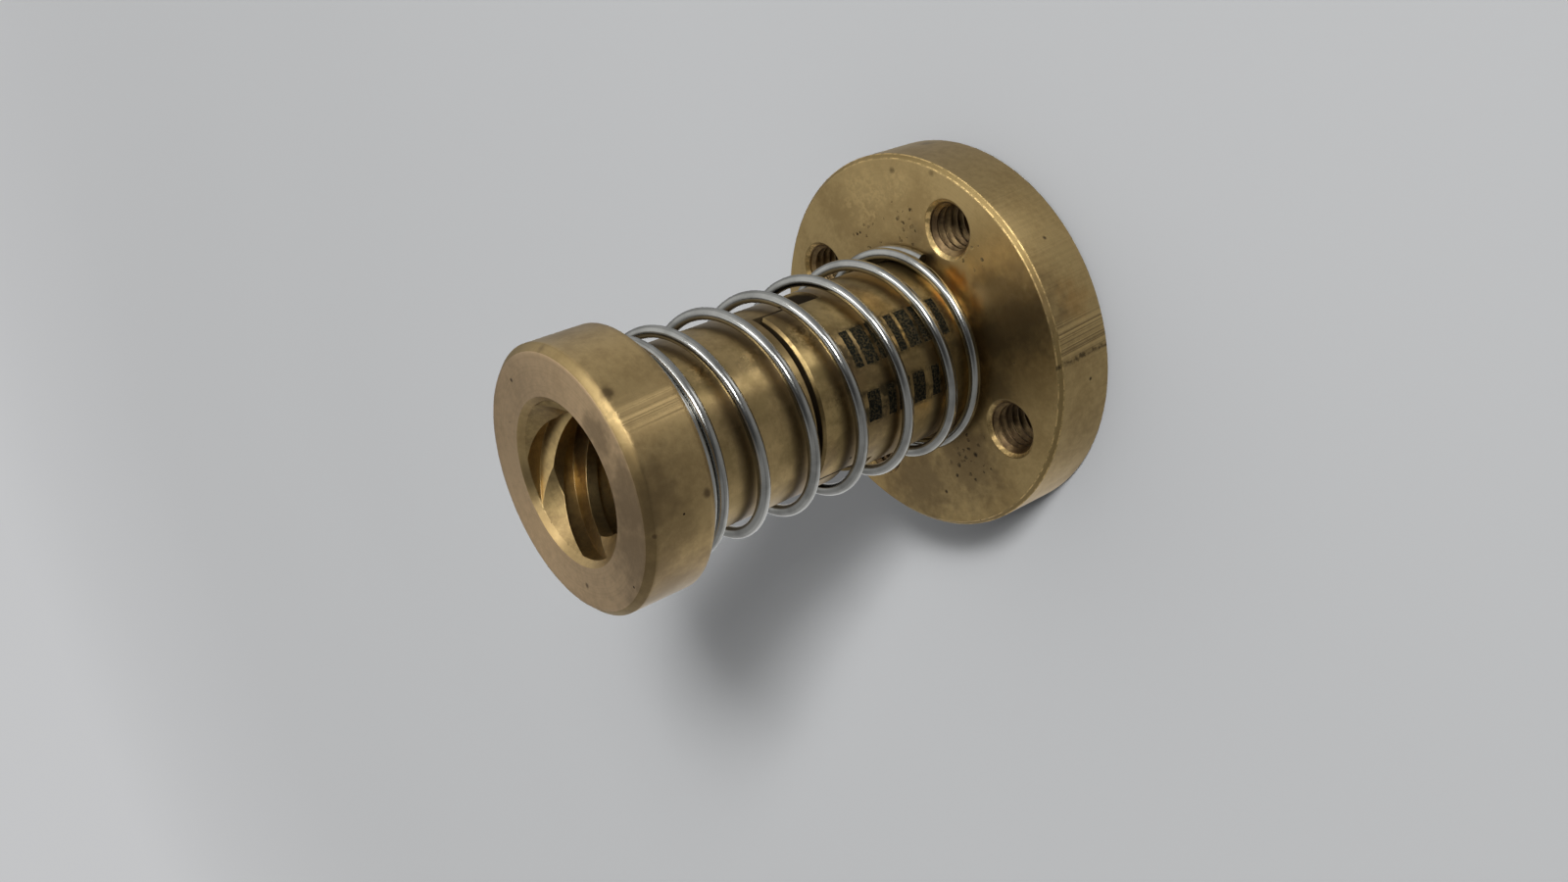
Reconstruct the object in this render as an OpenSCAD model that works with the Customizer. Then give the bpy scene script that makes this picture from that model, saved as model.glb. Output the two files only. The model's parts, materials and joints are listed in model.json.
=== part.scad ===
// Spring-loaded lead screw nut, which takes up the backlash on an 8 mm four-start screw.
// Two brass nuts share one screw: tongues on the collar nut slide in slots of the flanged nut,
// so that neither can turn alone, and a compression spring keeps pushing the two apart.
//
// Millimetres. The bore's axis is the Z axis, the back of the flange lies on z = 0 and the collar
// is at the top. The slots are cut across the barrel along Y.

/* [Screw] */
// Outside diameter of the screw that runs through the nut
screw_diameter = 8; // [7.5:0.1:8.4]
// Room all round between the crests of the screw and the root of the nut's thread
screw_clearance = 0.1; // [0.05:0.01:0.2]
// Width of the lead-in chamfer at both mouths of the bore
bore_chamfer = 0.3; // [0.15:0.05:0.5]

/* [Flange] */
// Diameter of the round flange
flange_diameter = 22; // [21:0.5:28]
// Thickness of the flange
flange_thickness = 4; // [3:0.25:6]
// Width of the 45 degree chamfer around both faces of the flange
flange_chamfer = 0.25; // [0.1:0.05:0.5]

/* [Bolt holes] */
// Number of tapped holes in the flange
bolt_count = 4; // [3:1:4]
// Diameter of the circle that the holes stand on
bolt_circle_diameter = 16; // [15.8:0.1:17]
// Major diameter of the thread in each hole
bolt_thread_diameter = 3; // [2.5:0.1:3.2]
// Width of the countersink around each mouth of a hole
bolt_countersink = 0.2; // [0.1:0.05:0.3]
// Angle of the first hole around the bore, from the middle of a jaw
first_bolt_angle = 45; // [30:5:60]

/* [Barrel and jaws] */
// Outside diameter of the barrel and of the sleeve that carries on from it
barrel_diameter = 10.2; // [10:0.1:10.6]
// Length of the barrel from the front of the flange to the tips of the jaws
barrel_length = 11.2; // [9:0.2:14]
// Width of the slots that are milled straight across the barrel
slot_width = 5; // [4:0.2:6]
// Depth of the slots from the tips of the jaws
slot_depth = 4.1; // [3.5:0.1:6]
// Width of the chamfer around the tips of the jaws and of the tongues
tip_chamfer = 0.15; // [0.05:0.05:0.25]

/* [Collar nut] */
// Diameter of the collar
collar_diameter = 14; // [13:0.5:18]
// Thickness of the collar
collar_thickness = 4; // [3:0.25:6]
// Width of the 45 degree chamfer around both faces of the collar
collar_chamfer = 0.35; // [0.1:0.05:0.6]
// Length of the sleeve from the back of the collar to the shoulders between its tongues
sleeve_length = 7.75; // [6:0.25:11]
// Length of the tongues from those shoulders to their tips
tongue_length = 2.5; // [1.5:0.1:3.4]
// Room on each side between a tongue and the walls of its slot
tongue_clearance = 0.08; // [0.04:0.02:0.16]
// Gap between the tips of the jaws and the shoulders of the sleeve, where the nut rests
jaw_gap = 0.45; // [0.2:0.05:1]

/* [Spring] */
// Diameter of the spring's wire
wire_diameter = 0.65; // [0.5:0.05:0.8]
// Room all round between the barrel and the inside of the spring
spring_clearance = 0.25; // [0.15:0.05:0.4]
// Number of open turns between the closed ends
open_turns = 5.15; // [3.5:0.05:6.5]
// Number of closed turns that lie against the flange
flange_end_turns = 1.35; // [1:0.05:2]
// Number of closed turns that lie against the collar
collar_end_turns = 1.5; // [1:0.05:2]
// Air between two closed turns
closed_turn_gap = 0.03; // [0.01:0.01:0.06]
// Angle around the bore of the cut end of the wire on the flange
wire_end_angle = 53; // [0:1:359]

/* [Smoothness] */
// Sides of the wire's cross-section
wire_sides = 10; // [6:2:12]
// Cross-sections along one turn of the wire
rings_per_turn = 30; // [16:2:36]

/* [Hidden] */

BRASS = "#a98a4b";
STEEL = "#c9cccd";

// Past a face, so that a cut leaves no skin
overcut = 1;

flange_radius = flange_diameter / 2;
barrel_radius = barrel_diameter / 2;
collar_radius = collar_diameter / 2;
bore_radius = screw_diameter / 2 + screw_clearance;
bolt_hole_radius = bolt_thread_diameter / 2;

// Heights, from the flange's back face upwards
flange_front_z = flange_thickness;
jaw_tip_z = flange_front_z + barrel_length;
slot_floor_z = jaw_tip_z - slot_depth;
shoulder_z = jaw_tip_z + jaw_gap;
tongue_tip_z = shoulder_z - tongue_length;
collar_back_z = shoulder_z + sleeve_length;
collar_front_z = collar_back_z + collar_thickness;

tongue_width = slot_width - 2 * tongue_clearance;

// The spring's wire, from the cut end on the flange to the one under the collar
wire_radius = wire_diameter / 2;
coil_radius = barrel_radius + spring_clearance + wire_radius;
wire_start_z = flange_front_z + wire_radius;
wire_rise = collar_back_z - wire_radius - wire_start_z;
turns = flange_end_turns + open_turns + collar_end_turns;
closed_pitch = wire_diameter + closed_turn_gap;
open_pitch = (wire_rise - closed_pitch * (turns - open_turns)) / open_turns;
// Turns over which the pitch changes from closed to open, centred where the closed turns end
pitch_change_turns = 0.6;

// ---- shared cuts -----------------------------------------------------------------------

// A disc that stands on z = 0, with the same chamfer around both faces
module chamfered_disc(radius, thickness, chamfer) {
    rotate_extrude($fn = 180)
        polygon([
            [0, 0],
            [radius - chamfer, 0],
            [radius, chamfer],
            [radius, thickness - chamfer],
            [radius - chamfer, thickness],
            [0, thickness],
        ]);
}

// A bar that stands on z = 0, chamfered at its free end only
module chamfered_bar(radius, length, chamfer) {
    rotate_extrude($fn = 180)
        polygon([
            [0, 0],
            [radius, 0],
            [radius, length - chamfer],
            [radius - chamfer, length],
            [0, length],
        ]);
}

// A round hole from one height to another, open at both ends
module through_hole(radius, from_z, to_z) {
    translate([0, 0, from_z - overcut])
        cylinder(h = to_z - from_z + 2 * overcut, r = radius, $fn = 96);
}

// The flare of a hole's mouth, its wide end at z = 0 and the hole going down from there
module mouth_flare(radius, width) {
    translate([0, 0, -width])
        cylinder(h = width, r1 = radius, r2 = radius + width, $fn = 96);
    cylinder(h = overcut, r = radius + width, $fn = 96);
}

// A straight bar of space across the axis along Y, from one height up to another
module cross_slab(width, from_z, to_z) {
    reach = barrel_radius + overcut;
    translate([-width / 2, -reach, from_z])
        cube([width, 2 * reach, to_z - from_z]);
}

// ---- flanged nut -------------------------------------------------------------------------

// One tapped hole of the flange, flared at both faces
module bolt_hole() {
    through_hole(bolt_hole_radius, 0, flange_thickness);
    translate([0, 0, flange_thickness])
        mouth_flare(bolt_hole_radius, bolt_countersink);
    mirror([0, 0, 1])
        mouth_flare(bolt_hole_radius, bolt_countersink);
}

module bolt_holes() {
    for (i = [0 : bolt_count - 1])
        rotate(first_bolt_angle + i * 360 / bolt_count)
            translate([bolt_circle_diameter / 2, 0, 0])
                bolt_hole();
}

module flange() {
    difference() {
        chamfered_disc(flange_radius, flange_thickness, flange_chamfer);
        bolt_holes();
    }
}

// The barrel, which the slots part into two jaws at its free end
module jawed_barrel() {
    difference() {
        chamfered_bar(barrel_radius, jaw_tip_z, tip_chamfer);
        cross_slab(slot_width, slot_floor_z, jaw_tip_z + overcut);
    }
}

module flanged_nut() {
    color(BRASS)
        difference() {
            union() {
                flange();
                jawed_barrel();
            }
            through_hole(bore_radius, 0, jaw_tip_z);
            mirror([0, 0, 1])
                mouth_flare(bore_radius, bore_chamfer);
        }
}

// ---- preload spring ----------------------------------------------------------------------

// How far a change of pitch has come in, as turns of the new pitch, x turns past its middle
function eased_turns(x) =
    let (half = pitch_change_turns / 2)
    x < -half ? 0 : x > half ? x : pow(x + half, 2) / (4 * half);

// Turns wound at the open pitch, after t turns from the cut end on the flange
function open_turns_at(t) =
    eased_turns(t - flange_end_turns) - eased_turns(t - (turns - collar_end_turns));

// Height of the wire's centre line after t turns
function wire_z(t) = wire_start_z + closed_pitch * t + (open_pitch - closed_pitch) * open_turns_at(t);

// One cross-section of the wire, square to its centre line, after t turns
function wire_ring(t) =
    let (
        angle = wire_end_angle + 360 * t,
        step = 1 / rings_per_turn,
        slope = (wire_z(t + step / 2) - wire_z(t - step / 2)) / step,
        lean = atan2(slope, 2 * PI * coil_radius),
        outward = [cos(angle), sin(angle), 0],
        upward = [sin(angle) * sin(lean), -cos(angle) * sin(lean), cos(lean)],
        centre = coil_radius * outward + [0, 0, wire_z(t)]
    )
    [for (i = [0 : wire_sides - 1])
        let (a = 360 * i / wire_sides)
        centre + wire_radius * (cos(a) * outward + sin(a) * upward)];

module preload_spring() {
    ring_count = ceil(turns * rings_per_turn);
    points = [for (k = [0 : ring_count]) each wire_ring(turns * k / ring_count)];
    first_cap = [[for (i = [wire_sides - 1 : -1 : 0]) i]];
    last_cap = [[for (i = [0 : wire_sides - 1]) ring_count * wire_sides + i]];
    walls = [
        for (k = [0 : ring_count - 1], i = [0 : wire_sides - 1])
            let (
                here = k * wire_sides,
                next = here + wire_sides,
                j = (i + 1) % wire_sides
            )
            [here + i, here + j, next + j, next + i]
    ];
    color(STEEL)
        polyhedron(points = points, faces = concat(first_cap, walls, last_cap), convexity = 12);
}

// ---- collar nut --------------------------------------------------------------------------

// The room that the jaws of the flanged nut take up, on both sides of the tongues
module jaw_room() {
    difference() {
        translate([0, 0, tongue_tip_z - overcut])
            cylinder(h = shoulder_z - tongue_tip_z + overcut, r = barrel_radius + overcut, $fn = 96);
        cross_slab(tongue_width, tongue_tip_z - 2 * overcut, shoulder_z + overcut);
    }
}

// The sleeve, which ends in two tongues at its lower end
module tongued_sleeve() {
    mid_collar_z = collar_back_z + collar_thickness / 2;
    difference() {
        translate([0, 0, mid_collar_z])
            mirror([0, 0, 1])
                chamfered_bar(barrel_radius, mid_collar_z - tongue_tip_z, tip_chamfer);
        jaw_room();
    }
}

module collar_nut() {
    color(BRASS)
        difference() {
            union() {
                translate([0, 0, collar_back_z])
                    chamfered_disc(collar_radius, collar_thickness, collar_chamfer);
                tongued_sleeve();
            }
            through_hole(bore_radius, tongue_tip_z, collar_front_z);
            translate([0, 0, collar_front_z])
                mouth_flare(bore_radius, bore_chamfer);
        }
}

flanged_nut();
preload_spring();
collar_nut();
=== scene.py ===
"""Looks of the spring-loaded lead screw nut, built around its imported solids.

Two brass nuts share one bore. The flanged nut carries a barrel with two jaws, the collar nut
reaches in between them with two tongues, and a compression spring keeps the two apart. The
solids give the shape of both nuts. This script finishes them, cuts the threads that the bores
carry, winds the spring and sets up the studio. Lengths are in metres and angles in degrees.
"""

import json
import logging
import math
from dataclasses import dataclass
from enum import Enum

import bpy
from mathutils import Matrix, Vector


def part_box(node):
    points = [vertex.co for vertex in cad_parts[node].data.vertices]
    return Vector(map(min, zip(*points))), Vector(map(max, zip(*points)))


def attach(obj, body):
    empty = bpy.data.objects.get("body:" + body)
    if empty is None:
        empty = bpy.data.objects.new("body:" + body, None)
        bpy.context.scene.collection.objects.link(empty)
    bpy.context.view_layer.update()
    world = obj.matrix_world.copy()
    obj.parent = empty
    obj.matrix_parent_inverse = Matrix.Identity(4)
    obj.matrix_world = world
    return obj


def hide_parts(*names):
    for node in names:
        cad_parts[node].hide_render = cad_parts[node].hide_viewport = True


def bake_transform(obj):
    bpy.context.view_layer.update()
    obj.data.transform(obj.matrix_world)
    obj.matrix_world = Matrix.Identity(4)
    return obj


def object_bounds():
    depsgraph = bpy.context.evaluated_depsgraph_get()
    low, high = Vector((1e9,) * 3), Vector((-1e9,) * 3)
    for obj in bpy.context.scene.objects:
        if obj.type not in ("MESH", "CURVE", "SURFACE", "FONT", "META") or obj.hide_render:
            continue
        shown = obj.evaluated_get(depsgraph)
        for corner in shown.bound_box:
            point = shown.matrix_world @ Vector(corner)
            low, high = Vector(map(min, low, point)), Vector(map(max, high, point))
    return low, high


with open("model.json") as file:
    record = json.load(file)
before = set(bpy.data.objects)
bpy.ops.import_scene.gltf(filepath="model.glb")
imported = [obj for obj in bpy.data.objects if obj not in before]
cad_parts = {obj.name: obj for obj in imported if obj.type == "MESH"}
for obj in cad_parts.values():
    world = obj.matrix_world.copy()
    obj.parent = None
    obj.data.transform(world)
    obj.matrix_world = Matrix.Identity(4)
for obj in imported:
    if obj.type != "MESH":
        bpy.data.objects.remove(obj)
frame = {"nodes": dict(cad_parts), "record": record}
SOLID_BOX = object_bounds()

log = logging.getLogger("lead_screw_nut")

MM = 0.001
MICRON = 0.000001

BARREL_RADIUS = 5.1 * MM
FLANGE_TOP = 4.0 * MM
FLANGE_RIM = 11.0 * MM
HOLE_CIRCLE_RADIUS = 8.0 * MM
COLLAR_BACK = 23.4 * MM
COLLAR_RIM = 7.0 * MM
OFF_COLLAR = (6.4 * MM, 6.6 * MM)
SLOT_SPAN = (10.9 * MM, 15.9 * MM)
JOINT_OFF_AXIS = 2.46 * MM

Colour = tuple[float, float, float]
Direction = tuple[float, float, float]


class Body(Enum):
    """The two bodies that slide along the screw."""

    FLANGED = "flanged_body"
    COLLAR = "collar_body"


class Slot(Enum):
    """The names of the record's material slots."""

    BRASS = "brass"
    SPRING_STEEL = "spring_steel"


class SlabCut(Enum):
    """What a slab along Y does to a thread: parts it, or is all that is left of it."""

    NONE = "none"
    REMOVE_INSIDE = "remove_inside"
    KEEP_INSIDE = "keep_inside"


# ---- node trees --------------------------------------------------------------------------------


class Signal:
    """A number, vector, colour, shader or geometry on its way through a node tree."""

    def __init__(self, wiring: "Wiring", socket: bpy.types.NodeSocket) -> None:
        """Holds the output socket that carries it."""
        self.wiring = wiring
        self.socket = socket

    def math(self, operation: str, *terms: object, clamp: bool = False) -> "Signal":
        """Puts it through a Math node, before any other terms."""
        return self.wiring.math(operation, self, *terms, clamp=clamp)

    def vector_math(self, operation: str, *terms: object) -> "Signal":
        """Puts it through a Vector Math node.

        Args:
            operation: The operation's name.
            terms: The vectors that follow it.

        Returns:
            The result, a number for a length, a distance or a dot product.
        """
        output = "Value" if operation in ("LENGTH", "DISTANCE", "DOT_PRODUCT") else "Vector"
        inputs = dict(enumerate((self, *terms)))
        return self.wiring.get("ShaderNodeVectorMath", inputs, output, operation=operation)

    def __add__(self, other: object) -> "Signal":
        """Adds a number to it."""
        return self.math("ADD", other)

    def __sub__(self, other: object) -> "Signal":
        """Takes a number from it."""
        return self.math("SUBTRACT", other)

    def __rsub__(self, other: object) -> "Signal":
        """Takes it from a number."""
        return self.wiring.math("SUBTRACT", other, self)

    def __mul__(self, other: object) -> "Signal":
        """Multiplies it."""
        return self.math("MULTIPLY", other)

    def __truediv__(self, other: object) -> "Signal":
        """Divides it."""
        return self.math("DIVIDE", other)

    def __abs__(self) -> "Signal":
        """Drops its sign."""
        return self.math("ABSOLUTE")

    def __lt__(self, other: object) -> "Signal":
        """Gives 1 where it is below a number, or else 0."""
        return self.math("LESS_THAN", other)

    def __gt__(self, other: object) -> "Signal":
        """Gives 1 where it is above a number, or else 0."""
        return self.math("GREATER_THAN", other)

    def scaled(self, factor: object, offset: object) -> "Signal":
        """Multiplies it and adds to it in one node."""
        return self.math("MULTIPLY_ADD", factor, offset)

    def limited(self, low: object, high: object) -> "Signal":
        """Keeps it between two numbers."""
        return self.math("MAXIMUM", low).math("MINIMUM", high)

    def parts(self) -> tuple["Signal", "Signal", "Signal"]:
        """Splits a vector into its x, y and z."""
        node = self.wiring.add("ShaderNodeSeparateXYZ", {0: self})
        return tuple(Signal(self.wiring, socket) for socket in node.outputs)

    def ramp(self, low: float, high: float, start: float = 0.0, end: float = 1.0) -> "Signal":
        """Turns a rise from low to high into a smooth one from start to end.

        Args:
            low: Where the rise begins.
            high: Where it is complete.
            start: The result up to low.
            end: The result from high on.

        Returns:
            The result.
        """
        limits = {"From Min": low, "From Max": high, "To Min": start, "To Max": end}
        return self.wiring.get(
            "ShaderNodeMapRange",
            {"Value": self, **limits},
            "Result",
            interpolation_type="SMOOTHSTEP",
        )

    def within(self, low: float, high: float, soft: float) -> "Signal":
        """Masks where it lies between two numbers.

        Args:
            low: The lower limit.
            high: The upper limit.
            soft: The width over which the mask fades at each limit.

        Returns:
            The mask.
        """
        return self.ramp(low - soft, low) * self.ramp(high, high + soft, 1.0, 0.0)


class Wiring:
    """Adds nodes to one node tree and joins them, for shaders and geometry alike."""

    def __init__(self, tree: bpy.types.NodeTree) -> None:
        """Starts on the tree that every node goes into."""
        self.tree = tree

    def add(self, kind: str, inputs: dict | None = None, **settings: object) -> bpy.types.Node:
        """Adds a node.

        Args:
            kind: The node's type name.
            inputs: A value or a signal for each input, by name or number.
            settings: The node's own properties.

        Returns:
            The new node.
        """
        node = self.tree.nodes.new(kind)
        for name, value in settings.items():
            setattr(node, name, value)
        for key, value in (inputs or {}).items():
            self.put(node.inputs[key], value)
        return node

    def get(
        self, kind: str, inputs: dict | None = None, output: int | str = 0, **settings: object
    ) -> Signal:
        """Adds a node for one of its outputs.

        Args:
            kind: The node's type name.
            inputs: A value or a signal for each input, by name or number.
            output: The output's name or number.
            settings: The node's own properties.

        Returns:
            The output's signal.
        """
        return Signal(self, self.add(kind, inputs, **settings).outputs[output])

    def put(self, socket: bpy.types.NodeSocket, value: object) -> None:
        """Joins a signal to an input, or sets the input's value.

        Args:
            socket: The input.
            value: A signal, a number, a vector, a colour or a data block.
        """
        if isinstance(value, Signal):
            self.tree.links.new(value.socket, socket)
        elif socket.type == "RGBA" and len(value) == 3:
            socket.default_value = (*value, 1.0)
        else:
            socket.default_value = value

    def math(self, operation: str, *terms: object, clamp: bool = False) -> Signal:
        """Adds a Math node.

        Args:
            operation: The operation's name.
            terms: Its numbers or signals, in order.
            clamp: Whether the result is kept from 0 to 1.

        Returns:
            The result.
        """
        inputs = dict(enumerate(terms))
        return self.get("ShaderNodeMath", inputs, operation=operation, use_clamp=clamp)

    def most(self, first: object, *others: object) -> Signal | float:
        """Gives the greatest of several numbers.

        Args:
            first: A number or a signal.
            others: The rest of them, which may be none.

        Returns:
            The greatest, or the only one as it is.
        """
        for other in others:
            first = self.math("MAXIMUM", first, other)
        return first

    def vector(self, x: object, y: object, z: object) -> Signal:
        """Joins three numbers into a vector."""
        return self.get("ShaderNodeCombineXYZ", {0: x, 1: y, 2: z})

    def polar(self, radius: Signal, angle: Signal, z: object) -> Signal:
        """Gives the point at a radius and an angle, in radians, round the axis."""
        return self.vector(radius * angle.math("COSINE"), radius * angle.math("SINE"), z)

    def either(self, share: object, first: object, second: object) -> Signal:
        """Gives one number where the share is 0 and another where it is 1."""
        return self.get("ShaderNodeMix", {"Factor": share, 2: first, 3: second}, data_type="FLOAT")

    def either_shader(self, share: object, first: object, second: object) -> Signal:
        """Gives one shader where the share is 0 and another where it is 1."""
        return self.get("ShaderNodeMixShader", {0: share, 1: first, 2: second})


class ShaderWiring(Wiring):
    """Wiring of a material, with the patterns that the finishes share."""

    def __init__(self, name: str) -> None:
        """Starts a material of its own.

        Args:
            name: The material's name.
        """
        self.material = bpy.data.materials.new(name)
        self.material.use_nodes = True
        super().__init__(self.material.node_tree)
        self.tree.nodes.clear()
        self.place = self.get("ShaderNodeTexCoord", output="Object")

    def noise(
        self, per_metre: float, detail: float = 4.0, along: object = None, rough: float = 0.55
    ) -> Signal:
        """Adds soft noise.

        Args:
            per_metre: Features for each metre.
            detail: Octaves.
            along: A vector to use in place of the object's coordinates.
            rough: How strong the finer octaves are.

        Returns:
            A number, around 0.5.
        """
        place = self.place if along is None else along
        inputs = {"Vector": place, "Scale": per_metre, "Detail": detail, "Roughness": rough}
        return self.get("ShaderNodeTexNoise", inputs, "Fac")

    def lines(self, value: Signal, per_metre: float, detail: float = 3.0) -> Signal:
        """Adds uneven parallel lines across a number in metres, as a number around 0.5."""
        inputs = {"W": value, "Scale": per_metre, "Detail": detail, "Roughness": 0.6}
        return self.get("ShaderNodeTexNoise", inputs, "Fac", noise_dimensions="1D")

    def shake(self, per_metre: float, detail: float) -> Signal:
        """Adds a noisy vector around zero, with some features for each metre and octaves."""
        inputs = {"Vector": self.place, "Scale": per_metre, "Detail": detail}
        return self.get("ShaderNodeTexNoise", inputs, "Color").vector_math(
            "SUBTRACT", (0.5, 0.5, 0.5)
        )

    def shaken_place(self, shake: Signal, reach: float) -> Signal:
        """Moves the object's coordinates by a vector times a length."""
        shift = self.get("ShaderNodeVectorMath", {0: shake, "Scale": reach}, operation="SCALE")
        return self.place.vector_math("ADD", shift)

    def cells(self, place: Signal, per_metre: float) -> tuple[tuple[Signal, ...], Signal]:
        """Adds cells around scattered points.

        Args:
            place: The coordinates.
            per_metre: Cells for each metre.

        Returns:
            Three random numbers that each cell has, and the distance to its point.
        """
        node = self.add("ShaderNodeTexVoronoi", {"Vector": place, "Scale": per_metre})
        colour, distance = (Signal(self, node.outputs[name]) for name in ("Color", "Distance"))
        return colour.parts(), distance

    def mix(self, share: object, first: object, second: object) -> Signal:
        """Mixes two colours, with a share of the second one."""
        inputs = {"Factor": share, 6: first, 7: second}
        return self.get("ShaderNodeMix", inputs, 2, data_type="RGBA")

    def bump(self, height: Signal, depth: float, strength: float, under: object = None) -> Signal:
        """Turns a height into a normal.

        Args:
            height: The height.
            depth: How far a height of 1 stands up, in metres.
            strength: How much of it shows.
            under: The normal of a coarser relief beneath this one.

        Returns:
            The normal.
        """
        inputs = {"Height": height, "Distance": depth, "Strength": strength}
        if under is not None:
            inputs["Normal"] = under
        return self.get("ShaderNodeBump", inputs)

    def surface(self, shader: Signal) -> bpy.types.Material:
        """Puts a shader on the material's surface and returns the material."""
        self.add("ShaderNodeOutputMaterial", {"Surface": shader})
        return self.material


class TurnedWiring(ShaderWiring):
    """Wiring of a material on a turned part, with the coordinates that its patterns follow."""

    def __init__(self, name: str) -> None:
        """Starts the material and adds the nodes that work the coordinates out.

        Args:
            name: The material's name.
        """
        super().__init__(name)
        self.x, self.y, self.height = self.place.parts()
        self.radius = self.vector(self.x, self.y, 0.0).vector_math("LENGTH")
        self.azimuth = self.y.math("ARCTAN2", self.x).math("DEGREES")
        self.arc = self.azimuth.math("RADIANS") * self.radius
        normal = self.get("ShaderNodeNewGeometry", output="True Normal")
        facing = abs(normal.parts()[2])
        above = facing.ramp(0.3, 0.6)
        self.on_face = facing.ramp(0.955, 0.975)
        self.on_side = 1.0 - above
        self.on_edge = above * (1.0 - self.on_face) * self.radius.ramp(*OFF_COLLAR)
        around = self.vector(self.y * -1.0, self.x, 0.0)
        self.tangent = normal.vector_math("CROSS_PRODUCT", around).vector_math("NORMALIZE")


class GeometryRecipe(Wiring):
    """A Geometry Nodes tree with named inputs, which makes one plain mesh piece."""

    def __init__(self, name: str) -> None:
        """Starts an empty tree.

        Args:
            name: The piece's name, which is also the tree's.
        """
        super().__init__(bpy.data.node_groups.new(name, "GeometryNodeTree"))
        self.name = name
        self.tree.interface.new_socket(
            name="Geometry", in_out="OUTPUT", socket_type="NodeSocketGeometry"
        )
        self.given = self.add("NodeGroupInput")
        self.values: dict[str, object] = {}

    def take(self, name: str, value: object) -> Signal:
        """Adds a named input with the value that the modifier gives it.

        Args:
            name: The input's name.
            value: A float, an int or a material.

        Returns:
            The signal that carries it.
        """
        kinds = {float: "NodeSocketFloat", int: "NodeSocketInt"}
        kind = kinds.get(type(value), "NodeSocketMaterial")
        item = self.tree.interface.new_socket(name=name, in_out="INPUT", socket_type=kind)
        self.values[item.identifier] = value
        given = next(s for s in self.given.outputs if s.identifier == item.identifier)
        return Signal(self, given)

    def make(
        self, geometry: Signal, finish: bpy.types.Material, crease: float = 30.0
    ) -> bpy.types.Object:
        """Ends the tree, runs it on an empty object and keeps the result as a plain mesh.

        Args:
            geometry: What the tree has made.
            finish: The material of all of it.
            crease: Edges that turn by more than this angle stay sharp.

        Returns:
            The piece, at the origin, with no modifier.
        """
        real = self.get("GeometryNodeRealizeInstances", {0: geometry})
        inputs = {"Geometry": real, "Material": self.take("Finish", finish)}
        self.add("NodeGroupOutput", {0: self.get("GeometryNodeSetMaterial", inputs)})

        piece = bpy.data.objects.new(self.name, bpy.data.meshes.new(self.name))
        bpy.context.scene.collection.objects.link(piece)
        modifier = piece.modifiers.new(self.name, "NODES")
        modifier.node_group = self.tree
        for identifier, value in self.values.items():
            modifier[identifier] = value
        graph = bpy.context.evaluated_depsgraph_get()
        made = bpy.data.meshes.new_from_object(
            piece.evaluated_get(graph), preserve_all_data_layers=True, depsgraph=graph
        )
        piece.modifiers.remove(modifier)
        piece.data = made
        made.name = self.name
        made.shade_smooth()
        made.set_sharp_from_angle(angle=math.radians(crease))
        return piece


# ---- finishes ----------------------------------------------------------------------------------


class Mark(Enum):
    """What a patch on the surface looks like; some kinds are painted shade and highlights."""

    # Stains, and broad patches of painted shade
    STAIN_AND_SHADE = "stain_and_shade"
    HEAT = "heat"
    SPECKS = "specks"
    DENT = "dent"
    # Painted highlights, as brighter, smoother spots
    RUBBED_AND_HIGHLIT = "rubbed_and_highlit"


@dataclass(frozen=True)
class SurfacePatch:
    """One patch on a turned surface, a mark or painted light, by its angle, radius and height."""

    mark: Mark
    azimuth: float
    radius: float
    height: float
    size: float
    strength: float = 1.0

    def centre(self) -> tuple[float, float, float]:
        """The patch's place in the part's frame."""
        angle = math.radians(self.azimuth)
        return self.radius * math.cos(angle), self.radius * math.sin(angle), self.height


@dataclass(frozen=True)
class Scratches:
    """Scratches along the axis in one sector of a rim."""

    azimuth: float
    spread: float
    radius: float
    per_metre: float
    strength: float


@dataclass(frozen=True)
class Crack:
    """A thin dark crack that runs across a rim, from its front edge to its back edge."""

    azimuth: float
    lean: float
    radius: float
    width: float
    jag: float


@dataclass(frozen=True)
class CoilShadows:
    """Painted shadows, in dark bands, of a spring's open turns on the barrel under them."""

    strength: float
    first_height: float = 1.05 * MM
    pitch: float = 3.264 * MM
    start_angle: float = 53.0
    width: float = 0.75 * MM


@dataclass(frozen=True)
class EtchedRow:
    """A row of plain bars etched into the barrel, side by side along the axis."""

    azimuth: float
    half_angle: float
    bottom: float
    bars: int
    pitch: float
    share: float = 0.80
    narrow_share: float = 0.50


def shaded(colour: Colour, factor: float) -> Colour:
    """Makes a colour darker or lighter, up to full strength."""
    return tuple(min(1.0, factor * c) for c in colour)


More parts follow.
